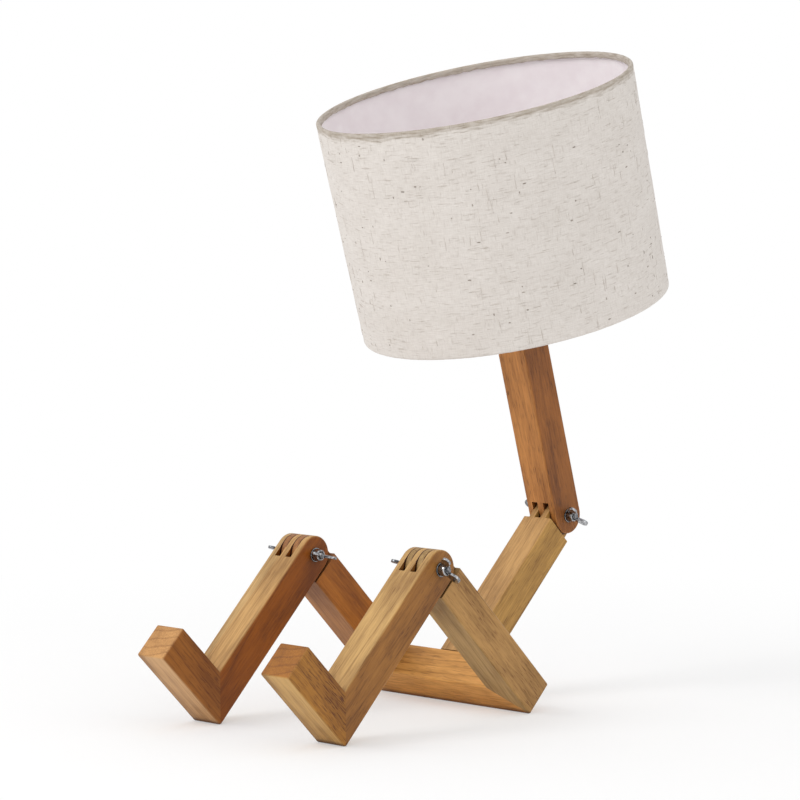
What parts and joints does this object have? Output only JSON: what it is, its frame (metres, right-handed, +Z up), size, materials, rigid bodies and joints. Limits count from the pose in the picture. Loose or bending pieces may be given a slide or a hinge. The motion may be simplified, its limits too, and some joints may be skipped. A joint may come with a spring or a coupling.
{
  "type": "robot shaped desk lamp",
  "caption": "Desk lamp shaped like a sitting robot: square wooden bars for legs and torso, joined by finger hinges clamped with wing nuts, and a linen drum shade as its head",
  "frame": {"origin": "on the table, at the middle of the lamp's outline as it sits", "axes": "+Z up, the robot faces -Y, its left side is +X"},
  "size_m": [0.2064, 0.3658, 0.4199],
  "materials": {
    "beech": "oiled, satin",
    "dowel_beech": "plain",
    "zinc_steel": "bright zinc plated",
    "linen": "woven, matt",
    "shade_lining": "smooth, matt",
    "white_wire": "powder coated",
    "black_plastic": "satin",
    "white_plastic": "satin",
    "holder_ceramic": "glazed",
    "brass": "plain",
    "bulb_aluminium": "rolled thread",
    "opal_glass": "opal"
  },
  "bodies": {
    "hips": {"thigh_left": "beech", "thigh_right": "beech", "pelvis_bar": "beech", "lower_torso": "beech", "hip_dowel_left": "dowel_beech", "hip_dowel_right": "dowel_beech", "torso_dowel": "dowel_beech"},
    "left_lower_leg": {"shin_left": "beech", "foot_left": "beech", "heel_dowel_left": "dowel_beech", "knee_left_wing_bolt": "zinc_steel", "knee_left_bolt_washer": "zinc_steel", "knee_left_nut_washer": "zinc_steel"},
    "right_lower_leg": {"shin_right": "beech", "foot_right": "beech", "heel_dowel_right": "dowel_beech", "knee_right_wing_bolt": "zinc_steel", "knee_right_bolt_washer": "zinc_steel", "knee_right_nut_washer": "zinc_steel"},
    "head": {"upper_torso": "beech", "waist_wing_bolt": "zinc_steel", "waist_bolt_washer": "zinc_steel", "waist_nut_washer": "zinc_steel", "cord_bushing": "black_plastic", "holder_nipple": "zinc_steel", "holder_locknut": "zinc_steel", "holder_cap": "white_plastic", "holder_sleeve": "white_plastic", "holder_block": "holder_ceramic", "holder_shell": "brass", "holder_contact": "brass", "shade_ring_nut": "white_plastic", "shade_frame": "white_wire", "shade_top_wire": "white_wire", "shade_cover": "linen", "shade_lining": "shade_lining", "bulb_tip": "brass", "bulb_base": "bulb_aluminium", "bulb_globe": "opal_glass"},
    "knee_left_nut": {"knee_left_wing_nut": "zinc_steel"},
    "knee_right_nut": {"knee_right_wing_nut": "zinc_steel"},
    "waist_nut": {"waist_wing_nut": "zinc_steel"}
  },
  "joints": [
    {"name": "left_knee", "type": "hinge", "parent": "hips", "child": "left_lower_leg", "pos_m": [0.055, -0.0545, 0.0985], "axis": [-1, 0, 0], "range_deg": [0, 90]},
    {"name": "right_knee", "type": "hinge", "parent": "hips", "child": "right_lower_leg", "pos_m": [-0.055, -0.0545, 0.0985], "axis": [-1, 0, 0], "range_deg": [0, 90]},
    {"name": "waist", "type": "hinge", "parent": "hips", "child": "head", "pos_m": [0, 0.12511, 0.11405], "axis": [1, 0, 0], "range_deg": [-105, 15]},
    {"name": "knee_left_nut_turn", "type": "hinge", "parent": "left_lower_leg", "child": "knee_left_nut", "pos_m": [0.0678, -0.0545, 0.0985], "axis": [1, 0, 0], "continuous": true},
    {"name": "knee_right_nut_turn", "type": "hinge", "parent": "right_lower_leg", "child": "knee_right_nut", "pos_m": [-0.0422, -0.0545, 0.0985], "axis": [1, 0, 0], "continuous": true},
    {"name": "waist_nut_turn", "type": "hinge", "parent": "head", "child": "waist_nut", "pos_m": [0.0128, 0.12511, 0.11405], "axis": [1, 0, 0], "continuous": true}
  ]
}
